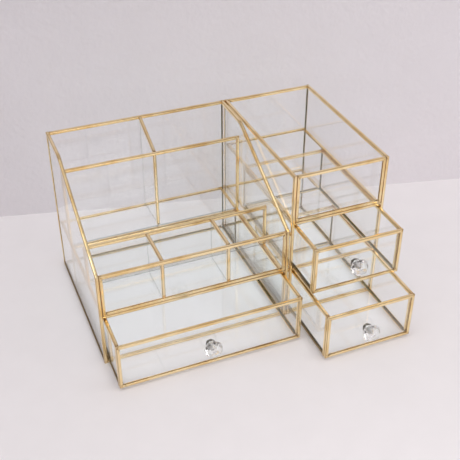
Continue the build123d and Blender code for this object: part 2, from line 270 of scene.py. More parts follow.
def rounded(corners: np.ndarray, radii: np.ndarray) -> np.ndarray:
    """Round the corners of a closed outline with arcs.

    Each arc starts r / tan(half the corner's angle) before its corner and
    turns about the point at r / sin(half the angle) along the bisector.

    Args:
        corners: Corners in order.
        radii: Radius at each corner, 0 for a sharp one.

    Returns:
        The outline's points, in the same order.
    """
    made = []
    for corner, before, after, radius in zip(
        corners, np.roll(corners, 1, axis=0), np.roll(corners, -1, axis=0), radii
    ):
        if radius == 0:
            made.append(corner[None, :])
            continue
        back = (before - corner) / np.linalg.norm(before - corner)
        on = (after - corner) / np.linalg.norm(after - corner)
        half = math.acos(float(np.clip(back @ on, -1, 1))) / 2
        bisector = (back + on) / np.linalg.norm(back + on)
        centre = corner + bisector * radius / math.sin(half)
        start = corner + back * radius / math.tan(half) - centre
        end = corner + on * radius / math.tan(half) - centre
        turn = math.atan2(start[0] * end[1] - start[1] * end[0], float(start @ end))
        angle = np.linspace(0, turn, ARC_STEPS + 1)
        spun = np.stack(
            [
                start[0] * np.cos(angle) - start[1] * np.sin(angle),
                start[0] * np.sin(angle) + start[1] * np.cos(angle),
            ],
            axis=1,
        )
        made.append(centre + spun)
    return np.concatenate(made)


def channel_section() -> np.ndarray:
    """Return the folded channel's section: sideways distance, inward distance.

    Returns:
        One row for each point: sideways distance, inward distance.
    """
    half, slot = HALF_CHANNEL, SLOT_WIDTH / 2
    band = CHANNEL_DEPTH - LIP_BAND
    corners = np.array(
        [
            (slot, STRIP_WALL),
            (slot, CHANNEL_DEPTH),
            (half, CHANNEL_DEPTH),
            (half, band),
            (half, 0),
            (-half, 0),
            (-half, band),
            (-half, CHANNEL_DEPTH),
            (-slot, CHANNEL_DEPTH),
            (-slot, STRIP_WALL),
        ]
    )
    lip, fold = LIP_RADIUS, FOLD_RADIUS
    return rounded(corners, np.array([0, lip, lip, 0, fold, fold, 0, lip, lip, 0]))


def angle_section(sideways_leg: float, inward_leg: float) -> np.ndarray:
    """Return the section of a brass angle whose outer corner is at zero.

    Args:
        sideways_leg: Length of the leg across the board.
        inward_leg: Length of the leg along it.

    Returns:
        One row for each point: sideways distance, inward distance.
    """
    corners = np.array(
        [
            (STRIP_WALL, STRIP_WALL),
            (STRIP_WALL, inward_leg),
            (0, inward_leg),
            (0, 0),
            (sideways_leg, 0),
            (sideways_leg, STRIP_WALL),
        ]
    )
    lip = LIP_RADIUS
    return rounded(corners, np.array([0, lip, lip, FOLD_RADIUS, lip, lip]))


def section_marks(section: np.ndarray) -> dict[str, np.ndarray]:
    """Mark the points at a strip's lips, and those on its folded corners.

    A channel lies on both sides of its middle and has both lips inward.  An
    angle lies on one side, with one lip inward and one sideways.

    Args:
        section: Sideways and inward distance of each point.

    Returns:
        The lip mask and the fold mask.
    """
    sideways, inward = np.abs(section[:, 0]), section[:, 1]
    wide, deep = sideways.max(), inward.max()
    almost, inside = 0.99, 0.9
    if section[:, 0].min() < 0:
        in_slot = (sideways < wide * almost) & (inward > STRIP_WALL * almost)
        lip = (inward > deep - LIP_BAND * inside) | in_slot
        from_fold = np.maximum(inward, wide - sideways)
    else:
        lip = (inward == deep) | (sideways == wide)
        from_fold = np.maximum(inward, sideways)
    fold = from_fold < FOLD_RADIUS * inside
    return {"lip": lip.astype(float), "fold": fold.astype(float)}


def mitres(corners: np.ndarray, closed: bool) -> tuple[np.ndarray, np.ndarray]:
    """Find the inward mitre vector at each corner of an anticlockwise outline.

    With the two edges' inward normals n1 and n2 it is (n1 + n2) / (1 + n1.n2),
    and at a free end it is the one edge's normal.

    Args:
        corners: Corners on a board.
        closed: Whether the last corner joins the first.

    Returns:
        The mitre vectors and the edges' lengths.
    """
    edges = np.roll(corners, -1, axis=0) - corners
    lengths = np.linalg.norm(edges, axis=1)
    normals = np.stack([-edges[:, 1], edges[:, 0]], axis=1) / lengths[:, None]
    before = np.roll(normals, 1, axis=0)
    after = normals.copy()
    if not closed:
        before[0] = after[0]
        after[-1] = before[-1]
        lengths = lengths[:-1]
    share = 1 + np.sum(before * after, axis=1, keepdims=True)
    return (before + after) / share, lengths


def carry(
    board: Board,
    corners: list[tuple[float, float]] | np.ndarray,
    section: np.ndarray,
    closed: bool,
    seed: int,
) -> Shape:
    """Carry a closed section along an outline drawn on a board.

    A station's point is its place on the outline, plus the section's inward
    distance times the mitre vector there, plus the sideways distance times the
    board's normal.  The inward distance gains a slow sway, a sum of two sines
    of the length run, because the strip is bent by hand.

    Args:
        board: The board the outline is drawn on.
        corners: The outline's corners, anticlockwise.
        section: The section's points.
        closed: Whether the outline is closed.
        seed: Number that shifts the sway.

    Returns:
        The strip as one closed shape.
    """
    corners = np.array(corners, float)
    mitre, lengths = mitres(corners, closed)
    counts = np.maximum(1, np.ceil(lengths / STATION_STEP).astype(int))
    edge = np.repeat(np.arange(len(lengths)), counts)
    first = np.repeat(np.cumsum(counts) - counts, counts)
    share = (np.arange(len(edge)) - first) / counts[edge]
    if not closed:
        edge = np.append(edge, len(lengths) - 1)
        share = np.append(share, 1.0)
    following = (edge + 1) % len(corners)
    place = corners[edge] + (corners[following] - corners[edge]) * share[:, None]
    lean = mitre[edge] + (mitre[following] - mitre[edge]) * share[:, None]
    run_to = np.concatenate([[0.0], np.cumsum(lengths)])
    run = run_to[edge] + share * lengths[edge]
    from_corner = np.minimum(share, 1 - share) * lengths[edge]
    phase = seed * SEED_PHASE
    long_swing = np.sin(run / LONG_WAVE + phase)
    swing = long_swing + SHORT_SHARE * np.sin(run / SHORT_WAVE + SHORT_PHASE * phase)
    settle = np.clip(from_corner / JOINT_REACH, 0, 1)
    inward = section[None, :, 1] + (SWAY * (1 + SHORT_SHARE + swing) * settle)[:, None]
    flat = place[:, None, :] + lean[:, None, :] * inward[..., None]
    off = np.broadcast_to(section[None, :, 0], inward.shape)
    points = board.place(flat, off)
    rows, columns = inward.shape
    faces = [tuple(f) for f in grid_faces(rows, columns, closed, True).tolist()]
    if not closed:
        faces.append(tuple(range(columns))[::-1])
        faces.append(tuple(range((rows - 1) * columns, rows * columns)))
    around = np.cumsum(np.linalg.norm(np.diff(section, axis=0, prepend=section[:1]), axis=1))
    chart = np.stack(np.broadcast_arrays(run[:, None], around[None, :]), axis=-1)
    marks = {name: np.tile(mask, rows) for name, mask in section_marks(section).items()}
    marks["joint"] = np.repeat(np.exp(-from_corner / JOINT_REACH), columns)
    return Shape(points.reshape(-1, 3), faces, chart.reshape(-1, 2), marks)


def ground_sheet(
    board: Board, corners: np.ndarray, thickness: float, hole: np.ndarray | None = None
) -> tuple[Shape, Shape]:
    """Make a sheet with ground arrises, and its two faces apart from its edge.

    The edge is a three-sided section carried round the outline: arris, flat,
    arris.  A drilled hole gets the same section, carried the other way.

    Args:
        board: Board through the middle of the sheet.
        corners: The sheet's outline, anticlockwise.
        thickness: Thickness of the sheet.
        hole: Middle of the screw hole, or None.

    Returns:
        The faces and the edge, which share no points.
    """
    half = thickness / 2
    edge_section = np.array([(-half, ARRIS), (ARRIS - half, 0), (half - ARRIS, 0), (half, ARRIS)])
    rims = [corners]
    if hole is not None:
        turn = np.linspace(0, -2 * math.pi, HOLE_SIDES, endpoint=False)
        rims.append(hole + SCREW_HOLE_RADIUS * np.stack([np.cos(turn), np.sin(turn)], axis=1))
    edge_points, edge_faces, face_rims = [], [], []
    count = 0
    for rim in rims:
        mitre, _ = mitres(rim, True)
        flat = rim[:, None, :] + mitre[:, None, :] * edge_section[None, :, 1, None]
        off = np.broadcast_to(edge_section[None, :, 0], flat.shape[:2])
        edge_points.append(board.place(flat, off).reshape(-1, 3))
        quads = grid_faces(len(rim), len(edge_section), True, False) + count
        edge_faces += [tuple(q) for q in quads.tolist()]
        count += len(rim) * len(edge_section)
        face_rims.append(flat[:, 0, :])
    flat = np.concatenate(face_rims)
    loops = [[Vector((x, y, 0)) for x, y in rim] for rim in face_rims]
    triangles = [tuple(t) for t in tessellate_polygon(loops)]
    under = board.place(flat, np.full(len(flat), -half))
    over = board.place(flat, np.full(len(flat), half))
    faces = triangles + [tuple(i + len(flat) for i in t[::-1]) for t in triangles]
    return Shape(np.concatenate([under, over]), faces), Shape(np.concatenate(edge_points), edge_faces)


def lathe(axis_point: Point, profile: np.ndarray) -> Shape:
    """Turn a closed profile about a line along Y.

    A point at distance d and radius r goes to (r cos t, -d, r sin t) about the
    axis point, for t once round.

    Args:
        axis_point: Where the profile's zero distance lies on the axis.
        profile: Distance towards the front and radius of each profile point.

    Returns:
        The turned shape, closed all round.
    """
    turn = np.linspace(0, 2 * math.pi, COLLAR_SIDES, endpoint=False)
    x = profile[:, None, 1] * np.cos(turn)
    y = np.broadcast_to(-profile[:, None, 0], x.shape)
    z = profile[:, None, 1] * np.sin(turn)
    points = np.stack([x, y, z], axis=-1) + np.array(axis_point)
    faces = grid_faces(len(profile), COLLAR_SIDES, True, True)
    around = np.cumsum(np.linalg.norm(np.diff(profile, axis=0, prepend=profile[:1]), axis=1))
    chart = np.stack(np.broadcast_arrays(around[:, None], turn[None, :] * COLLAR_CHART), axis=-1)
    return Shape(points.reshape(-1, 3), [tuple(f) for f in faces.tolist()], chart.reshape(-1, 2))


def bead(
    centre: np.ndarray,
    radii: np.ndarray,
    seed: int,
    room: tuple[np.ndarray, np.ndarray],
) -> Shape:
    """Make a lump of solder.

    It is a sphere scaled by radii, with its radius swelled by a few sines of
    longitude and latitude, so that no two lumps are alike, and filed flat a
    little proud of the strips.

    Args:
        centre: Middle of the lump.
        radii: Its half widths along X, Y and Z.
        seed: Number that changes the swellings.
        room: Low and high corner of the strips it is filed down to.

    Returns:
        The closed lump.
    """
    sides, rows = LUMP_SIDES, LUMP_RINGS
    u = np.linspace(0, 2 * math.pi, sides, endpoint=False)[None, :]
    v = (np.arange(1, rows + 1) / (rows + 1) * math.pi)[:, None]
    swell = 1 + LONG_SWELL * np.sin(2 * u + seed) * np.sin(v)
    swell = swell + SHORT_SWELL * np.sin(3 * u - 1.3 * seed) * np.sin(2 * v + 0.7 * seed)
    ring = np.stack(
        [
            swell * np.sin(v) * np.cos(u),
            swell * np.sin(v) * np.sin(u),
            swell * np.cos(v) * np.ones_like(u),
        ],
        axis=-1,
    ).reshape(-1, 3)
    unit = np.concatenate([ring, [[0, 0, 1.0], [0, 0, -1.0]]])
    faces = [tuple(f) for f in grid_faces(rows, sides, False, True).tolist()]
    top, bottom = rows * sides, rows * sides + 1
    last = (rows - 1) * sides
    faces += [(top, (i + 1) % sides, i) for i in range(sides)]
    faces += [(bottom, last + i, last + (i + 1) % sides) for i in range(sides)]
    filed = np.clip(centre + unit * radii, room[0] - SOLDER_PROUD, room[1] + SOLDER_PROUD)
    return Shape(filed, faces)


@dataclass
class Workpiece:
    """One visible piece, gathered from shapes before it becomes a mesh."""

    name: str
    points: list[np.ndarray] = field(default_factory=list)
    faces: list[tuple[int, ...]] = field(default_factory=list)
    charts: list[np.ndarray] = field(default_factory=list)
    marks: dict[str, list[np.ndarray]] = field(default_factory=lambda: {name: [] for name in MARKS})
    finish_of_face: list[int] = field(default_factory=list)
    count: int = 0

    def add(self, shape: Shape, finish: int = 0) -> None:
        """Add a shape, with the number of the finish its faces take.

        Args:
            shape: Shape to add.
            finish: Number of the finish its faces take.
        """
        size = len(shape.points)
        self.points.append(shape.points)
        self.faces += [tuple(i + self.count for i in f) for f in shape.faces]
        self.finish_of_face += [finish] * len(shape.faces)
        self.charts.append(np.zeros((size, 2)) if shape.chart is None else shape.chart)
        for name in MARKS:
            self.marks[name].append(shape.marks.get(name, np.zeros(size)))
        self.count += size

    def build(
        self,
        finishes: list[bpy.types.Material],
        body: Body,
        slot: Slot,
        stands_for: list[str],
        smooth_angle: float = SMOOTH_FOLDS,
        weld: bool = False,
    ) -> None:
        """Turn what was gathered into an object that rides on its body.

        Args:
            finishes: Materials, in the order the faces name them.
            body: Body the piece moves with.
            slot: Record's material slot; not used.
            stands_for: CAD nodes that it replaces.
            smooth_angle: Widest angle, in degrees, that is shaded smooth.
            weld: Whether points in one place are merged first.
        """
        mesh = bpy.data.meshes.new(self.name)
        mesh.from_pydata(np.concatenate(self.points).tolist(), [], self.faces)
        chart = np.concatenate(self.charts)
        corner_point = np.zeros(len(mesh.loops), np.int32)
        mesh.loops.foreach_get("vertex_index", corner_point)
        layer = mesh.uv_layers.new(name="chart")
        layer.data.foreach_set("uv", chart[corner_point].astype(np.float32).ravel())
        for name, masks in self.marks.items():
            mark = mesh.attributes.new(name, "FLOAT", "POINT")
            mark.data.foreach_set("value", np.concatenate(masks).astype(np.float32))
        mesh.polygons.foreach_set("material_index", np.array(self.finish_of_face, np.int32))
        form = bmesh.new()
        form.from_mesh(mesh)
        if weld:
            bmesh.ops.remove_doubles(form, verts=form.verts, dist=WELD_DISTANCE)
        bmesh.ops.recalc_face_normals(form, faces=form.faces)
        form.to_mesh(mesh)
        form.free()
        mesh.polygons.foreach_set("use_smooth", np.ones(len(mesh.polygons), bool))
        mesh.set_sharp_from_angle(angle=math.radians(smooth_angle))
        for finish in finishes:
            mesh.materials.append(finish)
        piece = bpy.data.objects.new(self.name, mesh)
        bpy.context.scene.collection.objects.link(piece)
        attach(piece, body.value)
        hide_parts(*stands_for)
        LOG.info("%s: %d faces on %s", self.name, len(mesh.polygons), body.value)


class Graph:
    """A node tree with short calls for adding and joining nodes."""

    def __init__(self, tree: bpy.types.NodeTree) -> None:
        """Keep the tree and clear it."""
        self.tree = tree
        tree.nodes.clear()

    def join(self, source: bpy.types.NodeSocket, target: bpy.types.NodeSocket) -> None:
        """Link an output socket to an input socket."""
        self.tree.links.new(source, target)

    def add(self, kind: str, settings: dict | None = None, **inputs: object) -> bpy.types.Node:
        """Add a node.

        Args:
            kind: Its type's name, without the ShaderNode in front.
            settings: Properties to set on the node.
            **inputs: Input values or sockets, by name with _ for a space, or by
                number with i in front.

        Returns:
            The node.
        """
        node = self.tree.nodes.new(f"ShaderNode{kind}")
        for name, value in (settings or {}).items():
            setattr(node, name, value)
        for name, value in inputs.items():
            key = int(name[1:]) if name[0] == "i" and name[1:].isdigit() else name.replace("_", " ")
            if isinstance(value, bpy.types.NodeSocket):
                self.join(value, node.inputs[key])
            else:
                node.inputs[key].default_value = value
        return node

    def maths(self, operation: str, first: object, second: object = 0.0) -> bpy.types.NodeSocket:
        """Add a Math node and return its value."""
        return self.add("Math", {"operation": operation}, i0=first, i1=second).outputs[0]

    def spread(
        self, value: object, low: float, high: float, to_low: float = 0.0, to_high: float = 1.0
    ) -> bpy.types.NodeSocket:
        """Map a value from one range to another, held at both ends.

        Args:
            value: Value or socket to map.
            low: Start of its range.
            high: End of its range.
            to_low: Result at the start.
            to_high: Result at the end.

        Returns:
            The result's socket.
        """
        return self.add(
            "MapRange", None, Value=value, From_Min=low, From_Max=high, To_Min=to_low, To_Max=to_high
        ).outputs[0]

    def blend(self, share: object, first: object, second: object) -> bpy.types.NodeSocket:
        """Mix two colours and return the colour."""
        return self.add("Mix", {"data_type": "RGBA"}, i0=share, i6=first, i7=second).outputs[2]

    def show(self, surface: bpy.types.NodeSocket) -> bpy.types.Node:
        """Send a shader to the material's surface and return the output node."""
        return self.add("OutputMaterial", None, Surface=surface)


def new_material(name: str) -> tuple[bpy.types.Material, Graph]:
    """Start a material and return it with its empty graph.

    Args:
        name: The material's name.

    Returns:
        The material and its graph.
    """
    made = bpy.data.materials.new(name)
    made.use_nodes = True
    return made, Graph(made.node_tree)


def opaque(colour: Point) -> tuple[float, float, float, float]:
    """Return a colour with full alpha."""
    return (*colour, 1.0)


def new_group(
    name: str, inputs: dict[str, tuple[str, object]], outputs: dict[str, str]
) -> tuple[Graph, bpy.types.Node, bpy.types.Node]:
    """Start a shader node group with named sockets.

    Args:
        name: The group's name.
        inputs: Socket type and default value of each input.
        outputs: Socket type of each output.

    Returns:
        The group's graph, its input node and its output node.
    """
    tree = bpy.data.node_groups.new(name, "ShaderNodeTree")
    for label, (kind, value) in inputs.items():
        socket = tree.interface.new_socket(label, in_out="INPUT", socket_type=f"NodeSocket{kind}")
        if value is not None:
            socket.default_value = value
    for label, kind in outputs.items():
        tree.interface.new_socket(label, in_out="OUTPUT", socket_type=f"NodeSocket{kind}")
    graph = Graph(tree)
    return graph, tree.nodes.new("NodeGroupInput"), tree.nodes.new("NodeGroupOutput")


def tarnish_and_shade_group() -> bpy.types.NodeTree:
    """Build the group that darkens metal in patches and beside its joints, and paints shade along its
    folds and lips.

    Returns:
        A group that gives a Color.
    """
    graph, given, made = new_group(
        "tarnish_and_shade",
        {
            "Vector": ("Vector", None),
            "Joint": ("Float", 0.0),
            "Lip": ("Float", 0.0),
            "Fold": ("Float", 0.0),
            "Bright": ("Color", (1, 1, 1, 1)),
            "Worn": ("Color", (1, 1, 1, 1)),
            "Stain": ("Color", (1, 1, 1, 1)),
            "Amount": ("Float", 0.5),
            "Fineness": ("Float", 420.0),
        },
        {"Color": "Color"},
    )
    patch_scale = 38.0
    lip_share, fold_share, spot_share, ring_share = 0.12, 0.75, 0.25, 0.25
    where, fineness = given.outputs["Vector"], given.outputs["Fineness"]
    broad = graph.add("TexNoise", None, Vector=where, Scale=patch_scale, Detail=3.0)
    fine = graph.add("TexNoise", None, Vector=where, Scale=fineness, Detail=3.0)
    patches = graph.spread(broad.outputs[0], 0.42, 0.66)
    specks = graph.spread(fine.outputs[0], 0.52, 0.62)
    worn = graph.blend(patches, given.outputs["Bright"], given.outputs["Worn"])
    ring = graph.maths("MULTIPLY", given.outputs["Joint"], graph.maths("ADD", specks, ring_share))
    spots = graph.maths("MULTIPLY", graph.maths("MULTIPLY", specks, patches), spot_share)
    # Painted shade: dark lines along the folded corners, and faintly along the lips and in the slot.
    line = graph.maths(
        "ADD",
        graph.maths("MULTIPLY", given.outputs["Lip"], lip_share),
        graph.maths("MULTIPLY", given.outputs["Fold"], fold_share),
    )
    dirt_and_shade = graph.maths("MAXIMUM", line, graph.maths("MAXIMUM", ring, spots))
    mask = graph.maths("MINIMUM", graph.maths("MULTIPLY", dirt_and_shade, given.outputs["Amount"]), 1.0)
    darkened = graph.blend(mask, worn, given.outputs["Stain"])
    graph.join(darkened, made.inputs["Color"])
    return graph.tree


def drawn_grain_group() -> bpy.types.NodeTree:
    """Build the group of fine drawing lines along a strip, with soft dents.

    Returns:
        A group that gives a Height and a Roughness.
    """
    graph, given, made = new_group(
        "drawn_grain",
        {
            "Chart": ("Vector", None),
            "Vector": ("Vector", None),
            "Fold": ("Float", 0.0),
            "Least": ("Float", 0.2),
            "Most": ("Float", 0.4),
        },
        {"Height": "Float", "Roughness": "Float"},
    )
    line_scale, dent_scale, smear_scale = (90.0, 9000.0, 1.0), (55.0, 420.0, 1.0), 55.0
    line_height, line_dullness = 0.12, 0.4
    stretched = graph.add("Mapping", None, Vector=given.outputs["Chart"], Scale=line_scale)
    lines = graph.add("TexNoise", None, Vector=stretched.outputs[0], Scale=1.0, Detail=3.0)
    pulled = graph.add("Mapping", None, Vector=given.outputs["Chart"], Scale=dent_scale)
    dents = graph.add("TexNoise", None, Vector=pulled.outputs[0], Scale=1.0, Detail=2.0)
    smears = graph.add("TexNoise", None, Vector=given.outputs["Vector"], Scale=smear_scale, Detail=4.0)
    ridges = graph.maths("MULTIPLY", lines.outputs[0], line_height)
    height = graph.maths("ADD", ridges, dents.outputs[0])
    streaks = graph.maths("MULTIPLY", lines.outputs[0], line_dullness)
    mixed = graph.maths("ADD", streaks, smears.outputs[0])
    span = graph.maths("SUBTRACT", given.outputs["Most"], given.outputs["Least"])
    share = graph.spread(mixed, 0.45, 0.95)
    dull = graph.maths("MULTIPLY", share, graph.maths("SUBTRACT", 1.0, given.outputs["Fold"]))
    roughness = graph.maths("ADD", given.outputs["Least"], graph.maths("MULTIPLY", dull, span))
    graph.join(height, made.inputs["Height"])
    graph.join(roughness, made.inputs["Roughness"])
    return graph.tree


def film_group() -> bpy.types.NodeTree:
    """Build the group of faint smears and dust that dull polished glass.

    Returns:
        A group that gives a Roughness and a Dust mask.
    """
    graph, given, made = new_group(
        "film",
        {"Vector": ("Vector", None), "Clean": ("Float", 0.0), "Dull": ("Float", 0.03)},
        {"Roughness": "Float", "Dust": "Float"},
    )
    smear_scale, dust_scale = 26.0, 900.0
    where = given.outputs["Vector"]
    smears = graph.add("TexNoise", None, Vector=where, Scale=smear_scale, Detail=5.0, Distortion=0.8)
    dust = graph.add("TexNoise", None, Vector=where, Scale=dust_scale, Detail=2.0)
    share = graph.spread(smears.outputs[0], 0.48, 0.72)
    span = graph.maths("SUBTRACT", given.outputs["Dull"], given.outputs["Clean"])
    roughness = graph.maths("ADD", given.outputs["Clean"], graph.maths("MULTIPLY", share, span))
    specks = graph.maths("MULTIPLY", graph.spread(dust.outputs[0], 0.66, 0.78), share)
    graph.join(roughness, made.inputs["Roughness"])
    graph.join(specks, made.inputs["Dust"])
    return graph.tree


@dataclass(frozen=True)
class Effects:
    """Shared shader groups."""

    tarnish_and_shade: bpy.types.NodeTree
    grain: bpy.types.NodeTree
    film: bpy.types.NodeTree


@dataclass(frozen=True)
class MetalFinish:
    """Metal that is polished, drawn and worn, with stains and with painted shade along its folds, to a
    degree.

    Its roughness runs from least to most, and relief is how deep its grain looks.
    """

    name: str
    bright: Point
    worn: Point
    stain: Point
    amount: float
    least: float
    most: float
    relief: float
    fineness: float = 420.0

    def material(self, effects: Effects) -> bpy.types.Material:
        """Build the material.

        Args:
            effects: Shared groups.

        Returns:
            A metal whose colour, roughness and normal change over the surface.
        """
        made, graph = new_material(self.name)
        where = graph.add("TexCoord")
        marks = {
            name.capitalize(): graph.add("Attribute", {"attribute_name": name}).outputs["Fac"]
            for name in MARKS
        }
        # The colour: wear and stains, with painted shade along the folds and lips.
        tarnish_and_shade = graph.add(
            "Group",
            {"node_tree": effects.tarnish_and_shade},
            Vector=where.outputs["Object"],
            Bright=opaque(self.bright),
            Worn=opaque(self.worn),
            Stain=opaque(self.stain),
            Amount=self.amount,
            Fineness=self.fineness,
            **marks,
        )
        grain = graph.add(
            "Group",
            {"node_tree": effects.grain},
            Chart=where.outputs["UV"],
            Vector=where.outputs["Object"],
            Fold=marks["Fold"],
            Least=self.least,
            Most=self.most,
        )
        bump = graph.add(
            "Bump", None, Height=grain.outputs["Height"], Strength=self.relief, Distance=GRAIN_HEIGHT
        )
        shader = graph.add(
            "BsdfPrincipled",
            None,
            Base_Color=tarnish_and_shade.outputs["Color"],
            Roughness=grain.outputs["Roughness"],
            Normal=bump.outputs[0],
            Metallic=1.0,
        )
        graph.show(shader.outputs[0])
        return made


@dataclass(frozen=True)
class GlassFinish:
    """Clear glass: its tint, how it bends light and how clean it is."""

    name: str
    tint: Point
    bend: float
    clean: float
    dull: float
    lets_through: Point
    depth_tint: Point = (1.0, 1.0, 1.0)
    depth_density: float = 0.0

    def material(self, effects: Effects) -> bpy.types.Material:
        """Build the material.

        Lamps and soft light pass straight through, a little stronger, which
        stands for the light that real sheets throw back and forth between them.

        Args:
            effects: Shared groups.

        Returns:
            A clear glass, green through its depth where it has a density.
        """
        made, graph = new_material(self.name)
        film = graph.add(
            "Group",
            {"node_tree": effects.film},
            Vector=graph.add("TexCoord").outputs["Object"],
            Clean=self.clean,
            Dull=self.dull,
        )
        dusty = graph.blend(film.outputs["Dust"], opaque(self.tint), opaque(DUST_COLOUR))
        shader = graph.add(
            "BsdfPrincipled",
            None,
            Base_Color=dusty,
            Roughness=film.outputs["Roughness"],
            Metallic=0.0,
            IOR=self.bend,
            Transmission_Weight=1.0,
        )
        path = graph.add("LightPath")
        soft = graph.maths("MAXIMUM", path.outputs["Is Shadow Ray"], path.outputs["Is Diffuse Ray"])
        clear = graph.add("BsdfTransparent", None, Color=opaque(self.lets_through))
        mixed = graph.add("MixShader", None, i0=soft, i1=shader.outputs[0], i2=clear.outputs[0])
        end = graph.show(mixed.outputs[0])
        if self.depth_density:
            tint = opaque(self.depth_tint)
            depth = graph.add("VolumeAbsorption", None, Color=tint, Density=self.depth_density)
            graph.join(depth.outputs[0], end.inputs["Volume"])
        return made


@dataclass(frozen=True)
class Palette:
    """Materials of the organiser, in the order they are made."""

    sheet: bpy.types.Material
    ground_edge: bpy.types.Material
    crystal: bpy.types.Material
    brass: bpy.types.Material
    shaded_brass: bpy.types.Material
    solder: bpy.types.Material
    gap_shadow: bpy.types.Material
    collar: bpy.types.Material
    screw: bpy.types.Material


def make_palette() -> Palette:
    """Build the shared effects and every material.

    Returns:
        The palette.
    """
    effects = Effects(tarnish_and_shade_group(), drawn_grain_group(), film_group())
    sheet = GlassFinish(
        name="sheet_glass_face",
        tint=(0.996, 0.998, 0.998),
        bend=1.5,
        clean=0.0,
        dull=0.02,
        lets_through=(1.035, 1.042, 1.044),
        depth_tint=(0.05, 0.60, 0.45),
        depth_density=3.0,
    )
    ground_edge = replace(
        sheet,
        name="sheet_glass_edge",
        tint=(0.90, 0.97, 0.94),
        clean=0.06,
        dull=0.14,
        lets_through=(0.95, 0.965, 0.96),
        depth_density=5.0,
    )
    crystal = GlassFinish(
        name="crystal_facets",
        tint=(1.0, 1.0, 1.0),
        bend=1.56,
        clean=0.0,
        dull=0.01,
        lets_through=(0.97, 0.97, 0.97),
    )
    brass = MetalFinish(
        name="drawn_brass",
        bright=(1.0, 0.82, 0.50),
        worn=(0.90, 0.65, 0.31),
        stain=(0.27, 0.14, 0.04),
        amount=0.8,
        least=0.12,
        most=0.24,
        relief=0.25,
    )
    # A dark copy of the brass: painted shade for the left angle under a bottom pane.
    shaded_brass = replace(
        brass,
        name="painted_shade_brass",
        bright=(0.36, 0.27, 0.14),
        worn=(0.25, 0.18, 0.09),
        least=0.24,
        most=0.42,
        relief=0.3,
    )
    solder = MetalFinish(
        name="solder_lump",
        bright=(0.74, 0.50, 0.23),
        worn=(0.60, 0.37, 0.14),
        stain=(0.12, 0.065, 0.03),
        amount=0.9,
        least=0.2,
        most=0.42,
        relief=0.5,
        fineness=900.0,
    )
    # Near black: the colour of the painted shadow lumps.
    gap_shadow = MetalFinish(
        name="painted_gap_shadow",
        bright=(0.13, 0.07, 0.03),
        worn=(0.08, 0.04, 0.02),
        stain=(0.03, 0.02, 0.01),
        amount=0.8,
        least=0.25,
        most=0.5,
        relief=0.6,
    )
    collar = MetalFinish(
        name="nickel_ring",
        bright=(0.80, 0.80, 0.79),
        worn=(0.70, 0.70, 0.69),
        stain=(0.25, 0.24, 0.22),
        amount=0.2,
        least=0.08,
        most=0.18,
        relief=0.1,
    )
    screw = MetalFinish(
        name="plated_screw",
        bright=(0.40, 0.41, 0.40),
        worn=(0.3, 0.3, 0.29),
        stain=(0.2, 0.2, 0.19),
        amount=0.4,
        least=0.18,
        most=0.34,
        relief=0.3,
    )
    finishes = (sheet, ground_edge, crystal, brass, shaded_brass, solder, gap_shadow, collar, screw)
    return Palette(*(finish.material(effects) for finish in finishes))


def node_points(node: str) -> np.ndarray:
    """Return the points of a CAD node's mesh at rest.

    Args:
        node: Name of the CAD node.

    Returns:
        One row of X, Y and Z for each point.
    """
    mesh = bpy.data.objects[node].data
    flat = np.zeros(len(mesh.vertices) * 3, np.float32)
    mesh.vertices.foreach_get("co", flat)
    return flat.reshape(-1, 3).astype(float)


@dataclass
class Glazing:
    """The flat sheets of one CAD node, remade with ground edges."""

    node: str
    facing: Facing
    body: Body
    drilled_for: str = ""

    def outline(self, flat: np.ndarray, hole: np.ndarray | None) -> np.ndarray:
        """Put a convex sheet's corners in order round their middle, leaving out a hole's.

        Args:
            flat: Points of one face, on its board.
            hole: Middle of the screw hole, or None.

        Returns:
            The corners, anticlockwise.
        """
        corners = np.unique(np.round(flat, PLACE_DIGITS), axis=0)
        if hole is not None:
            from_hole = np.linalg.norm(corners - hole, axis=1)
            corners = corners[from_hole > SCREW_HOLE_RADIUS + HOLE_MARGIN]
        reach = corners - (corners.min(axis=0) + corners.max(axis=0)) / 2
        return corners[np.argsort(np.arctan2(reach[:, 1], reach[:, 0]))]

    def build(self, palette: Palette) -> None:
        """Build the sheets, which stand for the node.

        Args:
            palette: Materials.
        """
        points = node_points(self.node)
        axis = self.facing.value
        kept = [a for a in range(3) if a != axis]
        levels = np.unique(np.round(points[:, axis], PLACE_DIGITS))
        hole = None
        if self.drilled_for:
            low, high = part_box(self.drilled_for)
            hole = np.array([(low[a] + high[a]) / 2 for a in kept])
        work = Workpiece(f"{self.node}_sheet")
        for near, far in zip(levels[::2], levels[1::2]):
            on_face = np.abs(points[:, axis] - near) < SAME_PLACE
            corners = self.outline(points[on_face][:, kept], hole)
            board = board_for(self.facing, (near + far) / 2)
            faces, edge = ground_sheet(board, corners, far - near, hole)
            work.add(faces, 0)
            work.add(edge, 1)
        finishes = [palette.sheet, palette.ground_edge]
        work.build(finishes, self.body, Slot.GLASS, [self.node], weld=True)


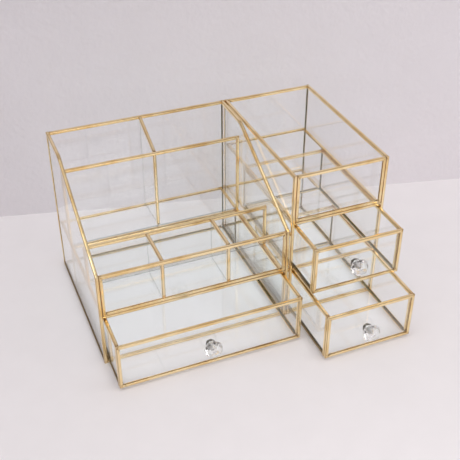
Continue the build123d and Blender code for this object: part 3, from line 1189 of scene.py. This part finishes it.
@dataclass
class Edging:
    """Brass strips of one CAD node, and the solder at their joints."""

    node: str
    body: Body
    seed: int = 0
    work: Workpiece = field(init=False)
    lumps: list[tuple[np.ndarray, np.ndarray]] = field(init=False, default_factory=list)

    def __post_init__(self) -> None:
        """Start the piece and read the node's box."""
        self.work = Workpiece(f"{self.node}_strips")
        low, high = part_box(self.node)
        self.left, self.front, self.bottom = low
        self.right, self.back, self.top = high

    def channel(self, board: Board, corners: list[tuple[float, float]], closed: bool = False) -> None:
        """Add a channel along an outline and mark a solder joint at each corner.

        Args:
            board: Board through the middle of the glass.
            corners: Outline of the strip's outer edge, anticlockwise.
            closed: Whether the last corner joins the first.
        """
        self.seed += 1
        self.work.add(carry(board, corners, channel_section(), closed, self.seed))
        outline = np.array(corners, float)
        mitre, _ = mitres(outline, closed)
        spots = outline + mitre * LUMP_INWARD
        across = np.abs(board.face)
        radii = across * LUMP_HALF_WIDTH + (1 - across) * LUMP_REACH
        for place in board.place(spots, np.zeros(len(outline))):
            self.lumps.append((place, radii))

    def angle(
        self,
        origin: Point,
        inward: Point,
        sideways: Point,
        legs: tuple[float, float],
        length: float,
        finish: int = 0,
    ) -> None:
        """Add a straight brass angle.

        Args:
            origin: Outer corner at its start.
            inward: Direction of the first leg.
            sideways: Direction of the second leg.
            legs: Lengths of the two legs.
            length: Length, along inward cross sideways.
            finish: Number of its finish, 0 for bright and 1 for the dark brass that paints shade.
        """
        self.seed += 1
        along = tuple(np.cross(inward, sideways))
        board = Board(origin, along, inward)
        section = angle_section(legs[1], legs[0])
        self.work.add(carry(board, [(0, 0), (length, 0)], section, False, self.seed), finish)

    def corner_angles(self, bottom: float, rise: float) -> None:
        """Add the angles up a back pane's two corners.

        Args:
            bottom: Height they start at.
            rise: Their length.
        """
        legs = (ANGLE_LEG, ANGLE_LEG)
        self.angle((self.left, self.back, bottom), (0, -1, 0), (1, 0, 0), legs, rise)
        self.angle((self.right, self.back, bottom), (-1, 0, 0), (0, -1, 0), legs, rise)

    def under_angles(self, front: float, bottom: float) -> None:
        """Add the angles under a bottom pane, along its two sides and its back.

        Args:
            front: Y at which the side ones start.
            bottom: Height of their under faces.
        """
        length = self.back - ANGLE_LEG - SEAM - front
        side, under = ANGLE_LEG, ANGLE_LEG_UNDER
        # The left side angle takes the dark brass: painted shade along the bottom edge.
        self.angle((self.left, front, bottom), (0, 0, 1), (1, 0, 0), (side, under), length, 1)
        self.angle((self.right, front, bottom), (-1, 0, 0), (0, 0, 1), (under, side), length)
        start = self.left + under + SEAM
        width = self.right - under - SEAM - start
        self.angle((start, self.back, bottom), (0, 0, 1), (0, -1, 0), (side, under), width)

    def solder(self, work: Workpiece) -> None:
        """Add a lump at each marked joint to a piece of solder.

        Args:
            work: The piece of solder.
        """
        room = (
            np.array([self.left, self.front, self.bottom]),
            np.array([self.right, self.back, self.top]),
        )
        for number, (centre, radii) in enumerate(self.lumps):
            work.add(bead(centre, radii, self.seed + number, room))

    def build(self, palette: Palette) -> None:
        """Build the strips, which stand for the node.

        Args:
            palette: Materials.
        """
        finishes = [palette.brass, palette.shaded_brass]
        self.work.build(finishes, self.body, Slot.BRASS, [self.node])


def side_edging(node: str, stepped: bool) -> Edging:
    """Plan the channels on a section's side pane.

    Args:
        node: Name of the CAD node.
        stepped: Whether the front edge slopes.

    Returns:
        The planned edging.
    """
    made = Edging(node, Body.CASE)
    board = side_board((made.left + made.right) / 2)
    run = [(made.back, made.top), (made.front, made.top), (made.front, made.bottom)]
    if stepped:
        run[1:2] = [(made.back - TOP_FLAT_LENGTH, made.top), (made.front, SLOPE_END_HEIGHT)]
    made.channel(board, run)
    return made


def back_edging(node: str) -> Edging:
    """Plan a back pane's top channel and corner angles.

    Args:
        node: Name of the CAD node.

    Returns:
        The planned edging.
    """
    made = Edging(node, Body.CASE)
    run = [(made.right - BESIDE_CHANNEL, made.top), (made.left + BESIDE_CHANNEL, made.top)]
    made.channel(front_board(made.back - HALF_CHANNEL), run)
    made.corner_angles(made.bottom, made.top - PAST_DEPTH - made.bottom)
    return made


def bottom_edging(node: str) -> Edging:
    """Plan a bottom pane's front channel and the angles under it.

    Args:
        node: Name of the CAD node.

    Returns:
        The planned edging.
    """
    made = Edging(node, Body.CASE)
    run = [(made.left + BESIDE_CHANNEL, made.front), (made.right - BESIDE_CHANNEL, made.front)]
    made.channel(level_board(made.bottom + HALF_CHANNEL), run)
    made.under_angles(made.front + PAST_DEPTH, made.bottom)
    return made


def shelf_edging(node: str) -> Edging:
    """Plan the channel all round a level pane.

    Args:
        node: Name of the CAD node.

    Returns:
        The planned edging.
    """
    made = Edging(node, Body.CASE)
    run = rectangle(made.left, made.front, made.right, made.back)
    made.channel(level_board((made.bottom + made.top) / 2), run, closed=True)
    return made


def panel_edging(node: str, closed: bool) -> Edging:
    """Plan the channel round an upright cross panel, or over its top and ends.

    Args:
        node: Name of the CAD node.
        closed: Whether the channel runs along the bottom too.

    Returns:
        The planned edging.
    """
    made = Edging(node, Body.CASE)
    low_left, *run = rectangle(made.left, made.bottom, made.right, made.top)
    made.channel(front_board((made.front + made.back) / 2), [*run, low_left], closed=closed)
    return made


def divider_edging(node: str, front_top: float, count: int) -> Edging:
    """Plan the channels over the tops and down the fronts of the dividers.

    Args:
        node: Name of the CAD node.
        front_top: Height of a divider's front corner.
        count: Number of dividers.

    Returns:
        The planned edging.
    """
    made = Edging(node, Body.CASE)
    first, last = made.left + HALF_CHANNEL, made.right - HALF_CHANNEL
    for x in np.linspace(first, last, count) if count > 1 else [first]:
        run = [(made.back, made.top), (made.front, front_top), (made.front, made.bottom)]
        made.channel(side_board(float(x)), run)
    return made


@dataclass
class Case:
    """The fixed case: the stepped section, the tower and what ties them."""

    edgings: list[Edging] = field(default_factory=list)

    def glaze(self, palette: Palette) -> None:
        """Build every fixed sheet of glass.

        Args:
            palette: Materials.
        """
        sides = ("stepped_outer_side", "stepped_inner_side", "tower_inner_side", "tower_outer_side")
        dividers = ("back_row_divider", "front_row_dividers")
        backs = ("stepped_back", "tower_back")
        panels = ("back_row_panel", "middle_row_panel", "front_row_panel", "tray_front")
        levels = ("stepped_bottom", "stepped_shelf", "tower_bottom", "tower_shelf", "tray_floor")
        facings = {Facing.SIDE: sides + dividers, Facing.FRONT: backs + panels, Facing.LEVEL: levels}
        for facing, names in facings.items():
            for name in names:
                Glazing(f"{name}_glass", facing, Body.CASE).build(palette)

    def edge(self, palette: Palette) -> None:
        """Build every fixed brass strip.

        Args:
            palette: Materials.
        """
        row_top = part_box("back_row_panel_frame")[1].z
        cell_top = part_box("middle_row_panel_frame")[1].z
        self.edgings = [
            side_edging("stepped_outer_side_frame", True),
            side_edging("stepped_inner_side_frame", True),
            side_edging("tower_inner_side_frame", False),
            side_edging("tower_outer_side_frame", False),
            back_edging("stepped_back_frame"),
            back_edging("tower_back_frame"),
            bottom_edging("stepped_bottom_frame"),
            bottom_edging("tower_bottom_frame"),
            shelf_edging("stepped_shelf_frame"),
            shelf_edging("tower_shelf_frame"),
            shelf_edging("tray_floor_frame"),
            panel_edging("back_row_panel_frame", False),
            panel_edging("middle_row_panel_frame", False),
            panel_edging("front_row_panel_frame", True),
            panel_edging("tray_front_frame", True),
            divider_edging("back_row_divider_frame", row_top, 1),
            divider_edging("front_row_dividers_frame", cell_top, 2),
        ]
        for edging in self.edgings:
            edging.build(palette)

    def solder(self, palette: Palette) -> None:
        """Build the lumps at the strips' joints, the dark lumps of painted shadow and the bridges between
        the sections.

        Args:
            palette: Materials.
        """
        joints = Workpiece("case_solder_joints")
        for edging in self.edgings:
            edging.solder(joints)
        joints.build([palette.solder], Body.CASE, Slot.SOLDER, [], smooth_angle=SMOOTH_LUMPS)
        self.painted_gap_shadows(palette)
        self.bridges(palette)

    def bridges(self, palette: Palette) -> None:
        """Build the bridges, one lump for each block at the front and at the back.

        Args:
            palette: Materials.
        """
        same_height, height_digits, tenths_in_metre = 1e-5, 5, 1e4
        ties = Workpiece("solder_bridge_lumps")
        points = node_points("solder_bridges")
        for y_sign in (-1, 1):
            half = points[(points[:, 1] > 0) == (y_sign > 0)]
            height = half[:, 2]
            levels = np.unique(np.round(height, height_digits))
            for low, high in zip(levels[::2], levels[1::2]):
                block = half[(height >= low - same_height) & (height <= high + same_height)]
                room = (block.min(axis=0), block.max(axis=0))
                radii = (room[1] - room[0]) / 2 * BRIDGE_SWELL
                seed = int(high * tenths_in_metre)
                ties.add(bead((room[0] + room[1]) / 2, radii, seed, room))
        ties.build([palette.solder], Body.CASE, Slot.SOLDER, ["solder_bridges"], smooth_angle=SMOOTH_LUMPS)

    def painted_gap_shadows(self, palette: Palette) -> None:
        """Build dark lumps of painted shadow at the front ends of the level strips.

        Args:
            palette: Materials.
        """
        spots = Workpiece("painted_gap_shadow_spots")
        for seed, node in enumerate(("stepped_shelf_frame", "tower_shelf_frame", "tray_floor_frame")):
            low, high = (np.array(corner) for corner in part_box(node))
            for x in (low[0] + GAP_SHADOW_RADII[0], high[0] - GAP_SHADOW_RADII[0]):
                centre = np.array([x, low[1] + GAP_SHADOW_BACK, low[2] + GAP_SHADOW_UP])
                room = (low - SOLDER_PROUD, high + SOLDER_PROUD)
                spots.add(bead(centre, GAP_SHADOW_RADII, seed, room))
        spots.build([palette.gap_shadow], Body.CASE, Slot.SOLDER, [], smooth_angle=SMOOTH_LUMPS)


@dataclass
class Knob:
    """A cut crystal on a thin turned ring.

    Rings give the distance in front of the turned ring, the radius, and how far
    they are turned, in half facets.
    """

    body: Body
    facets: int = 12
    rings: tuple[tuple[float, float, float], ...] = (
        (0.0, 0.0045, 0.0),
        (0.0022, 0.0074, 1.0),
        (0.0046, 0.0094, 0.0),
        (0.0064, 0.0097, 0.0),
        (0.0093, 0.0086, 1.0),
        (0.0117, 0.0066, 0.0),
        (0.0136, 0.0043, 1.0),
    )
    bore_radius: float = 0.00205
    bore_depth: float = 0.007
    bore_tip: float = 0.0078

    def crystal(self, base: Point) -> Shape:
        """Cut the crystal.

        Neighbouring rings that are turned half a facet apart are joined by
        triangles, which point to the front and back in turn.  The inside wall
        is the bore for the screw, closed by a cone.

        Args:
            base: Where the collar ends, on the knob's axis.

        Returns:
            The closed crystal.
        """
        inner = ((0.0, self.bore_radius, 0.0), (self.bore_depth, self.bore_radius, 0.0))
        rings = np.array([*inner[::-1], *self.rings])
        turn = 2 * math.pi / self.facets * (np.arange(self.facets)[None, :] + rings[:, None, 2] / 2)
        x = rings[:, None, 1] * np.cos(turn)
        y = np.broadcast_to(-rings[:, None, 0], x.shape)
        z = rings[:, None, 1] * np.sin(turn)
        tip = np.array([[0.0, -self.bore_tip, 0.0]])
        points = np.concatenate([np.stack([x, y, z], axis=-1).reshape(-1, 3), tip])
        faces: list[tuple[int, ...]] = []
        count = self.facets
        ring_pairs = list(zip(range(len(rings) - 1), rings[:-1, 2], rings[1:, 2]))
        for number, here_turn, next_turn in ring_pairs:
            here, beyond = number * count, (number + 1) * count
            for i in range(count):
                j = (i + 1) % count
                if here_turn == next_turn:
                    faces.append((here + i, here + j, beyond + j, beyond + i))
                elif next_turn > here_turn:
                    faces.append((here + i, here + j, beyond + i))
                    faces.append((here + j, beyond + j, beyond + i))
                else:
                    faces.append((here + i, beyond + j, beyond + i))
                    faces.append((here + i, here + j, beyond + j))
        last = (len(rings) - 1) * count
        faces.append(tuple(range(last, last + count)))
        apex = len(rings) * count
        faces += [((i + 1) % count, i, apex) for i in range(count)]
        return Shape(points + np.array(base), faces)

    def collar(self, base: Point, length: float, radius: float) -> Shape:
        """Turn the collar: a thin rounded flange and a seat under the crystal.

        Args:
            base: Centre of its seat on the glass.
            length: Its length.
            radius: Its flange's radius.

        Returns:
            The closed collar, bored through.
        """
        corners = np.array(
            [
                (0.0, SCREW_HOLE_RADIUS),
                (0.0, radius),
                (0.5 * length, radius),
                (0.55 * length, 0.86 * radius),
                (length, 0.84 * radius),
                (length, SCREW_HOLE_RADIUS),
            ]
        )
        radii = np.array([0.0, 0.0001, 0.00025, 0.0001, 0.00015, 0.0])
        return lathe(base, rounded(corners, radii))

    def build(self, palette: Palette) -> None:
        """Build the crystal and the collar.

        Args:
            palette: Materials.
        """
        name = self.body.value
        low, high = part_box(f"{name}_knob_crystal")
        base = ((low.x + high.x) / 2, high.y, (low.z + high.z) / 2)
        work = Workpiece(f"{name}_knob_cut_crystal")
        work.add(self.crystal(base))
        replaced = [f"{name}_knob_crystal"]
        work.build([palette.crystal], self.body, Slot.CRYSTAL, replaced, smooth_angle=SMOOTH_FACETS)
        low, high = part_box(f"{name}_knob_collar")
        seat = ((low.x + high.x) / 2, high.y, (low.z + high.z) / 2)
        turned = Workpiece(f"{name}_knob_turned_collar")
        turned.add(self.collar(seat, high.y - low.y, (high.x - low.x) / 2))
        turned.build([palette.collar], self.body, Slot.COLLAR, [f"{name}_knob_collar"])


@dataclass
class Drawer:
    """One drawer with its glass, edging and knob."""

    body: Body
    seed: int

    def glaze(self, palette: Palette) -> None:
        """Build the drawer's five sheets.

        Args:
            palette: Materials.
        """
        name = self.body.value
        Glazing(f"{name}_front_glass", Facing.FRONT, self.body, f"{name}_knob_collar").build(palette)
        Glazing(f"{name}_side_glass", Facing.SIDE, self.body).build(palette)
        Glazing(f"{name}_back_glass", Facing.FRONT, self.body).build(palette)
        Glazing(f"{name}_bottom_glass", Facing.LEVEL, self.body).build(palette)

    def edge(self, palette: Palette) -> None:
        """Build the drawer's brass edging and its solder joints.

        Args:
            palette: Materials.
        """
        made = Edging(f"{self.body.value}_frame", self.body, self.seed)
        face_run = rectangle(made.left, made.bottom, made.right, made.top)
        made.channel(front_board(made.front + HALF_CHANNEL), face_run, closed=True)
        start = made.front + BESIDE_CHANNEL
        for x in (made.left + HALF_CHANNEL, made.right - HALF_CHANNEL):
            made.channel(side_board(x), [(made.back, made.top), (start, made.top), (start, made.bottom)])
        back_run = [(made.right - BESIDE_CHANNEL, made.top), (made.left + BESIDE_CHANNEL, made.top)]
        made.channel(front_board(made.back - HALF_CHANNEL), back_run)
        made.corner_angles(made.bottom, made.top - PAST_DEPTH - made.bottom)
        made.under_angles(start + PAST_DEPTH, made.bottom)
        made.build(palette)
        joints = Workpiece(f"{self.body.value}_solder_joints")
        made.solder(joints)
        joints.build([palette.solder], self.body, Slot.SOLDER, [], smooth_angle=SMOOTH_LUMPS)

    def knob(self, palette: Palette) -> None:
        """Build the knob and give its screw a finish.

        Args:
            palette: Materials.
        """
        Knob(self.body).build(palette)
        screw = bpy.data.objects[f"{self.body.value}_knob_screw"]
        for material_slot in screw.material_slots:
            material_slot.material = palette.screw


@dataclass(frozen=True)
class Viewpoint:
    """Where the camera stands from the case's back left foot, and how it looks."""

    stand_off: Point = (-0.11857, -0.81794, 0.61383)
    heading: float = 22.330
    dip: float = 35.159
    tilt: float = 0.136
    lens: float = 65.13
    sensor: float = 36.0
    nearest: float = 0.02
    farthest: float = 50.0

    def build(self) -> None:
        """Set the scene's camera up."""
        case_low, case_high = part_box("stepped_outer_side_frame")
        place = Vector((case_low.x, case_high.y, 0.0)) + Vector(self.stand_off)
        heading, dip, tilt = (math.radians(a) for a in (self.heading, self.dip, self.tilt))
        ahead = Vector(
            (
                math.sin(heading) * math.cos(dip),
                math.cos(heading) * math.cos(dip),
                -math.sin(dip),
            )
        )
        level = Vector((math.cos(heading), -math.sin(heading), 0))
        above = level.cross(ahead)
        right = level * math.cos(tilt) + above * math.sin(tilt)
        up = right.cross(ahead)
        lens = bpy.data.cameras.new("camera")
        lens.lens = self.lens
        lens.sensor_width = self.sensor
        lens.clip_start = self.nearest
        lens.clip_end = self.farthest
        camera = bpy.data.objects.new("camera", lens)
        turned = Matrix((right, up, -ahead)).transposed().to_4x4()
        camera.matrix_world = Matrix.Translation(place) @ turned
        bpy.context.scene.collection.objects.link(camera)
        bpy.context.scene.camera = camera


@dataclass(frozen=True)
class Lamp:
    """A square soft light aimed at a point, with its power in watts."""

    name: str
    place: Point
    aim: Point
    size: float
    power: float
    colour: Point

    def build(self) -> None:
        """Hang the lamp."""
        light = bpy.data.lights.new(self.name, "AREA")
        light.shape = "SQUARE"
        light.size = self.size
        light.energy = self.power
        light.color = self.colour
        lamp = bpy.data.objects.new(self.name, light)
        lamp.location = self.place
        way = Vector(self.aim) - Vector(self.place)
        lamp.rotation_euler = way.to_track_quat("-Z", "Y").to_euler()
        bpy.context.scene.collection.objects.link(lamp)


@dataclass(frozen=True)
class Studio:
    """A pale table, a pale plaster wall behind it, and soft light.

    The wall passes through two points, given as X and as distance behind the case.
    """

    half_width: float = 4.0
    wall_left: tuple[float, float] = (-0.2150, 0.1294)
    wall_right: tuple[float, float] = (0.4003, -0.0166)
    wall_height: float = 2.2
    floor_colour: Point = (0.87, 0.83, 0.84)
    wall_colour: Point = (0.85, 0.80, 0.832)
    wall_shade: Point = (0.14, 0.13, 0.13)
    light_from_side: Point = (0.50, 0.50, 0.52)
    light_from_above: Point = (1.0, 0.99, 1.0)
    room_light: float = 0.64
    bounces: int = 32
    clear_bounces: int = 64
    glossy_bounces: int = 12
    lamps: tuple[Lamp, ...] = (
        Lamp("window", (1.4, -1.2, 1.25), (0.1, 0.1, 0.1), 1.2, 7.2, (1.0, 0.99, 0.98)),
        Lamp("overhead", (-0.5, -0.6, 1.9), (0.0, 0.0, 0.05), 1.5, 11.5, (1.0, 1.0, 1.0)),
        Lamp("table_glow", (0.0, -0.72, 0.36), (0.05, -0.42, 0.0), 0.34, 0.8, (1.0, 0.99, 0.98)),
    )

    def shaded(
        self, graph: Graph, where: bpy.types.NodeSocket, colour: bpy.types.NodeSocket
    ) -> bpy.types.NodeSocket:
        """Paint shade into a wall's colour: darker high up, and again towards its upper left.

        Args:
            graph: The wall material's graph.
            where: Socket that gives the place on the wall.
            colour: Socket that gives the plain colour.

        Returns:
            The shaded colour's socket.
        """
        shade = opaque(self.wall_shade)
        place = graph.add("SeparateXYZ", None, Vector=where)
        across, height = place.outputs["X"], place.outputs["Z"]
        shade_starts, shade_full, darkest = 0.25, 0.7, 0.35
        high_up = graph.spread(height, shade_starts, shade_full, 0.0, darkest)
        left_end, right_end, dimmest = -0.45, 0.35, 0.12
        slant = graph.maths("SUBTRACT", across, height)
        to_left = graph.spread(slant, left_end, right_end, dimmest, 0.0)
        return graph.blend(to_left, graph.blend(high_up, colour, shade), shade)

    def surface(
        self, name: str, colour: Point, grain: float, relief: float, one_sided: bool
    ) -> bpy.types.Material:
        """Build a matt, faintly mottled surface.

        Args:
            name: Material's name.
            colour: Its colour.
            grain: Scale of its texture.
            relief: Strength of its texture.
            one_sided: Whether it is a wall, with painted shade and clear from behind.

        Returns:
            The material.
        """
        coarser, darker, roughness, relief_height = 9, 0.95, 0.75, 0.002
        made, graph = new_material(name)
        where = graph.add("TexCoord").outputs["Object"]
        broad = graph.add("TexNoise", None, Vector=where, Scale=grain / coarser, Detail=6.0)
        fine = graph.add("TexNoise", None, Vector=where, Scale=grain, Detail=5.0)
        dim = tuple(c * darker for c in colour)
        mottled = graph.blend(broad.outputs[0], opaque(colour), opaque(dim))
        if one_sided:
            # A wall gets painted shade: darker high up and towards the upper left.
            mottled = self.shaded(graph, where, mottled)
        bump = graph.add(
            "Bump", None, Height=fine.outputs[0], Strength=relief, Distance=relief_height
        )
        matt = graph.add(
            "BsdfPrincipled", None, Base_Color=mottled, Roughness=roughness, Normal=bump.outputs[0]
        ).outputs[0]
        if one_sided:
            behind = graph.add("NewGeometry").outputs["Backfacing"]
            clear = graph.add("BsdfTransparent").outputs[0]
            matt = graph.add("MixShader", None, i0=behind, i1=matt, i2=clear).outputs[0]
        graph.show(matt)
        return made

    def sheet(self, name: str, corners: list[Point], material: bpy.types.Material) -> None:
        """Build one flat stage surface from its four corners.

        Args:
            name: The surface's name.
            corners: Its corners in order.
            material: Its material.
        """
        mesh = bpy.data.meshes.new(name)
        mesh.from_pydata(corners, [], [(0, 1, 2, 3)])
        mesh.materials.append(material)
        flat = bpy.data.objects.new(name, mesh)
        bpy.context.scene.collection.objects.link(flat)

    def world(self) -> None:
        """Fill the room with soft light, brighter from above than from the side."""
        room = bpy.data.worlds.new("room")
        bpy.context.scene.world = room
        room.use_nodes = True
        graph = Graph(room.node_tree)
        where = graph.add("TexCoord")
        parts = graph.add("SeparateXYZ", None, Vector=where.outputs["Generated"])
        height = graph.spread(parts.outputs["Z"], 0.0, 0.8)
        colour = graph.blend(height, opaque(self.light_from_side), opaque(self.light_from_above))
        sky = graph.add("Background", None, Color=colour, Strength=self.room_light)
        graph.add("OutputWorld", None, Surface=sky.outputs[0])

    def build(self) -> None:
        """Set the table, the wall, the lamps and how light is traced."""
        wide = self.half_width
        floor = self.surface("table_top", self.floor_colour, grain=300.0, relief=0.02, one_sided=False)
        corners = [(x, y, 0.0) for x, y in rectangle(-wide, -wide, wide, wide)]
        self.sheet("table", corners, floor)
        plaster = self.surface("plaster", self.wall_colour, grain=160.0, relief=0.5, one_sided=True)
        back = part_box("stepped_back_frame")[1].y
        left, right = (np.array([x, back + y]) for x, y in (self.wall_left, self.wall_right))
        way = (right - left) / np.linalg.norm(right - left)
        start, stop = left - way * wide, right + way * wide
        top = self.wall_height
        corners = [(*start, 0.0), (*stop, 0.0), (*stop, top), (*start, top)]
        self.sheet("wall", [tuple(map(float, c)) for c in corners], plaster)
        self.world()
        for lamp in self.lamps:
            lamp.build()
        scene = bpy.context.scene
        scene.view_settings.view_transform = "Standard"
        scene.cycles.max_bounces = self.bounces
        scene.cycles.transmission_bounces = self.bounces
        scene.cycles.transparent_max_bounces = self.clear_bounces
        scene.cycles.glossy_bounces = self.glossy_bounces


def main() -> None:
    """Build the organiser's looks round the frame."""
    logging.basicConfig(level=logging.INFO, format="%(message)s")
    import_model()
    Viewpoint().build()
    palette = make_palette()
    case = Case()
    case.glaze(palette)
    case.edge(palette)
    case.solder(palette)
    for number, body in enumerate((Body.WIDE, Body.UPPER, Body.LOWER)):
        drawer = Drawer(body, SEEDS_PER_DRAWER * (number + 1))
        drawer.glaze(palette)
        drawer.edge(palette)
        drawer.knob(palette)
    Studio().build()


if __name__ == "__main__":
    main()
